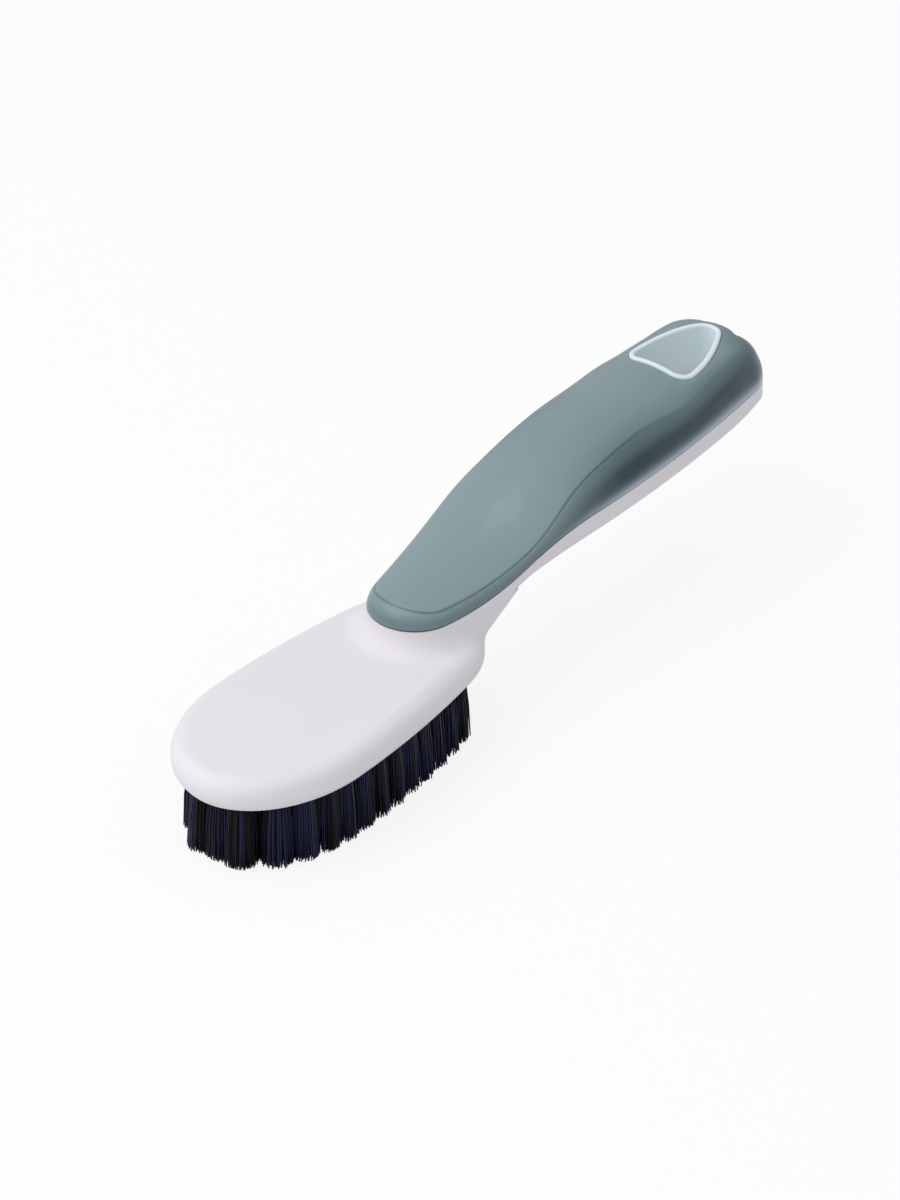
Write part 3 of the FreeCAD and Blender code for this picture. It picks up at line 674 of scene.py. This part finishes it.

# %% [markdown]
# The cover is grey with a breath of green-blue. From the middle of the handle to the tail
# its flanks are darker with painted shade and a painted dark reflection, in a long lens
# that is deepest a little below halfway up and turns to a pale blue-grey band along the
# seam, a painted reflection of the white back. Near the neck they stay close to the plain
# grey, over a painted shadow line in the seam. The share of the way from seam to crease to
# middle is stored on the mesh, so two colour ramps can follow it, and the groove of the
# crease is stored too and darkened with painted shade. The end of the tail, behind the
# hole, is evenly darker with painted shade.

# %% Grey cover
# Painted shadow in the seam's gap at the first stops, then a little painted shade low on the
# flank
NECK_SHADE_STOPS = (
    (0.0, (0.012, 0.02, 0.024)),
    (0.02, (0.02, 0.03, 0.035)),
    (0.05, (0.175, 0.245, 0.265)),
    (0.10, (0.16, 0.225, 0.24)),
    (0.20, (0.15, 0.215, 0.23)),
    (0.33, (0.19, 0.265, 0.285)),
    (0.45, (0.22, 0.30, 0.32)),
    (0.55, (0.228, 0.31, 0.33)),
)
# Painted dark reflection and shade in the lens, and a painted reflection of the white back at the
# seam
LENS_SHADE_STOPS = (
    (0.0, (0.50, 0.55, 0.65)),
    (0.03, (0.42, 0.47, 0.56)),
    (0.06, (0.27, 0.32, 0.39)),
    (0.10, (0.115, 0.16, 0.20)),
    (0.15, (0.035, 0.065, 0.085)),
    (0.20, (0.016, 0.040, 0.056)),
    (0.29, (0.020, 0.048, 0.062)),
    (0.40, (0.085, 0.140, 0.157)),
    (0.49, (0.105, 0.172, 0.190)),
    (0.52, (0.145, 0.217, 0.236)),
    (0.72, (0.200, 0.282, 0.302)),
    (1.0, (0.215, 0.300, 0.322)),
)
# Colours laid over the ramps, each with the most of it that shows; the tail's and the
# groove's are painted shade
TAIL_SHADE_GREY, TAIL_SHADE_SHARE = (0.04, 0.07, 0.083), 0.8
PALE_GREY, PALE_SHARE = (0.35, 0.43, 0.45), 0.06
GROOVE_SHADE_GREY, GROOVE_SHADE_SHARE = (0.045, 0.07, 0.08), 0.6
# Where the lens starts and widens and the tail darkens, along the handle in metres
LENS_START, LENS_WIDENS, TAIL_END = (0.006, 0.046), (0.058, 0.085), (0.092, 0.110)
# How the share on the mesh is scaled to a ramp's range, before and after the lens widens
RAMP_SCALES = (0.5, 0.41)
SEAM_BAND = (0.08, 0.15)
GREY_CLOUD, GREY_FLECKS = (30.0, 3.0), (300.0, 2.0)
GREY_ROUGHNESS = (0.27, 0.35)
GREY_GRAIN = (2e-6, 1800.0, 0.15)
grey, tree, shader = new_finish(
    "gloss_grey", specular_ior_level=0.25, coat_weight=0.15, coat_roughness=0.06
)
share = add_node(tree, "Attribute", attribute_name="flank_share").outputs["Fac"]
station = object_axes(tree)[0]
widen = spread(tree, station, *LENS_WIDENS, *RAMP_SCALES, smooth=True)
place = work_out(tree, "MULTIPLY", share, widen)
toward_tail = spread(tree, station, *LENS_START, 0.0, 1.0, smooth=True)
plain = blend(tree, toward_tail, ramp(tree, place, NECK_SHADE_STOPS), ramp(tree, place, LENS_SHADE_STOPS))
# Painted shade: the end of the tail, above the seam's pale band, is darkened evenly
tail_shade = spread(tree, station, *TAIL_END, 0.0, TAIL_SHADE_SHARE, smooth=True)
over_seam = spread(tree, place, *SEAM_BAND, 0.0, 1.0, smooth=True)
tail_shade = work_out(tree, "MULTIPLY", tail_shade, over_seam)
plain = blend(tree, tail_shade, plain, TAIL_SHADE_GREY)
patch = spread(tree, cloud(tree, *GREY_CLOUD), *CLOUD_RANGE, 0.0, PALE_SHARE)
plain = blend(tree, patch, plain, PALE_GREY)
crease = add_node(tree, "Attribute", attribute_name="crease_line").outputs["Fac"]
# Painted shade in the groove of the crease
dark = work_out(tree, "MULTIPLY", crease, GROOVE_SHADE_SHARE)
tree.links.new(blend(tree, dark, plain, GROOVE_SHADE_GREY), shader.inputs["Base Color"])
gloss = spread(tree, cloud(tree, *GREY_FLECKS), *FLECK_RANGE, *GREY_ROUGHNESS)
tree.links.new(gloss, shader.inputs["Roughness"])
grain(tree, shader, *GREY_GRAIN)
cover.data.materials.append(grey)
print("cover:", cover.data.materials[0].name)

# %% [markdown]
# The bristles are smooth dark nylon, blue-black. Each strand carries its own shade, most
# of it shared with its neighbours, so lighter streaks run down a bunch. The staples are
# plain steel plates inside the head, kept as their CAD nodes.

# %% Bristles and staples
NAVY_SHADES = ((0.0012, 0.0015, 0.004), (0.02, 0.023, 0.075))
NAVY_ROUGHNESS = (0.42, 0.26)
STREAK_RANGE = (0.3, 0.9)
STEEL_SHADES = ((0.5, 0.5, 0.51), (0.62, 0.62, 0.63))
STEEL_ROUGHNESS = (0.3, 0.5)
STEEL_CLOUD = (900.0, 3.0)
navy, tree, shader = new_finish("navy_bristle", specular_ior_level=0.25)
shade = add_node(tree, "Attribute", attribute_name="strand_shade").outputs["Fac"]
streak = spread(tree, shade, *STREAK_RANGE, 0.0, 1.0, smooth=True)
tree.links.new(blend(tree, streak, *NAVY_SHADES), shader.inputs["Base Color"])
tree.links.new(spread(tree, shade, 0.0, 1.0, *NAVY_ROUGHNESS), shader.inputs["Roughness"])
for row in bristle_rows:
    row.data.materials.append(navy)

steel, tree, shader = new_finish("rolled_steel", metallic=1.0)
patch = cloud(tree, *STEEL_CLOUD)
tree.links.new(blend(tree, patch, *STEEL_SHADES), shader.inputs["Base Color"])
tree.links.new(spread(tree, patch, *FLECK_RANGE, *STEEL_ROUGHNESS), shader.inputs["Roughness"])
staples = [node for name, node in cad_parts.items() if name.startswith("anchor_row_")]
for node in staples:
    node.data.materials.clear()
    node.data.materials.append(steel)
print("bristle rows:", len(bristle_rows), "staple rows:", len(staples))

# %% [markdown]
# ## Floor, light and camera
# The brush stands on its bristles on a white floor under soft studio light. What the
# camera sees of the floor is mostly a white of its own, so that it fills the picture
# evenly and keeps a faint shadow. The world is pale and even to the camera and in
# reflections, and a weaker, slightly blue sky to everything that it lights.

# %% Floor and world
FLOOR_HALF = 6.0
PAPER_WHITE = (0.9, 0.9, 0.9, 1.0)
OWN_WHITE = 0.85
SKY_COLOUR = (0.93, 0.96, 1.0, 1.0)
SKY_STRENGTH = 0.55
floor_points = np.array([[-1, -1, 0], [1, -1, 0], [1, 1, 0], [-1, 1, 0]]) * FLOOR_HALF
floor = add_piece("studio_floor", floor_points, np.array([[0, 1, 2, 3]]))
paper, tree, shader = new_finish("white_paper", roughness=0.9, specular_ior_level=0.1)
shader.inputs["Base Color"].default_value = PAPER_WHITE
glow = add_node(tree, "Emission")
rays = add_node(tree, "LightPath").outputs
own_white = spread(tree, rays["Is Camera Ray"], 0.0, 1.0, 0.0, OWN_WHITE)
mix_shaders(tree, own_white, shader, glow, "Material Output")
floor.data.materials.append(paper)

world = bpy.data.worlds.new("studio")
bpy.context.scene.world = world
world.use_nodes = True
tree = world.node_tree
sky = tree.nodes["Background"]
sky.inputs["Color"].default_value = SKY_COLOUR
sky.inputs["Strength"].default_value = SKY_STRENGTH
seen = add_node(tree, "Background")
rays = add_node(tree, "LightPath").outputs
direct = work_out(tree, "MAXIMUM", rays["Is Camera Ray"], rays["Is Glossy Ray"])
direct = work_out(tree, "MAXIMUM", direct, rays["Is Transmission Ray"])
mix_shaders(tree, direct, sky, seen, "World Output")
bpy.context.scene.view_settings.view_transform = "Standard"
print("floor", 2 * FLOOR_HALF, "m wide")

# %% [markdown]
# One large square lamp hangs high over the brush, to the left as the camera sees it, like
# a softbox in a studio. Because it is wide, the round edges shade off slowly and no
# surface burns out.

# %% Lamp
KEY_PLACE, KEY_TARGET = (-0.75, 0.4, 1.4), (0.0, 0.0, 0.03)
KEY_WIDTH, KEY_POWER = 1.8, 18.0


def soft_box(name, place, target, width, power):
    """A square lamp at a place, turned to a target, with its power in watts."""
    lamp = bpy.data.lights.new(name, "AREA")
    lamp.size = width
    lamp.energy = power
    box = bpy.data.objects.new(name, lamp)
    box.location = place
    box.rotation_euler = (Vector(target) - Vector(place)).to_track_quat("-Z", "Y").to_euler()
    bpy.context.scene.collection.objects.link(box)


soft_box("key_box", KEY_PLACE, KEY_TARGET, KEY_WIDTH, KEY_POWER)

# %% [markdown]
# The camera stands three metres away with a long lens, which keeps the lines almost
# parallel as in the photograph. It looks from the front left, from above: the two angles
# and the point it aims at place the brush in a frame of 900 by 1200.

# %% Camera
FRAME_HEIGHT = 1200
SENSOR_HEIGHT = 36.0
FAR_CLIP = 50.0
CAMERA_TURN = math.radians(51.188)
CAMERA_TILT = math.radians(33.6)
CAMERA_DISTANCE = 3000.0
PIXELS_PER_MM = 3.8304
AIM_RIGHT, AIM_UP = -8.0, -9.43
MIDDLE_ALONG, MIDDLE_OVER_LIP = 1.9, 15.0
middle = np.array([MIDDLE_ALONG, 0.0, MIDDLE_OVER_LIP + LIP_HEIGHT])
level = np.array([math.sin(CAMERA_TURN), math.cos(CAMERA_TURN), 0.0])
right = np.array([math.cos(CAMERA_TURN), -math.sin(CAMERA_TURN), 0.0])
ahead = level * math.cos(CAMERA_TILT) - [0.0, 0.0, math.sin(CAMERA_TILT)]
upward = level * math.sin(CAMERA_TILT) + [0.0, 0.0, math.cos(CAMERA_TILT)]
place = middle + AIM_RIGHT * right + AIM_UP * upward - CAMERA_DISTANCE * ahead
lens = bpy.data.cameras.new("camera")
lens.sensor_fit = "VERTICAL"
lens.sensor_height = SENSOR_HEIGHT
lens.lens = PIXELS_PER_MM * CAMERA_DISTANCE / FRAME_HEIGHT * SENSOR_HEIGHT
lens.clip_end = FAR_CLIP
camera = bpy.data.objects.new("camera", lens)
axes = np.eye(4)
axes[:3] = np.column_stack([right, upward, -ahead, place * MM])
camera.matrix_world = Matrix(axes.tolist())
bpy.context.scene.collection.objects.link(camera)
bpy.context.scene.camera = camera
print("lens:", round(lens.lens, 1), "mm")
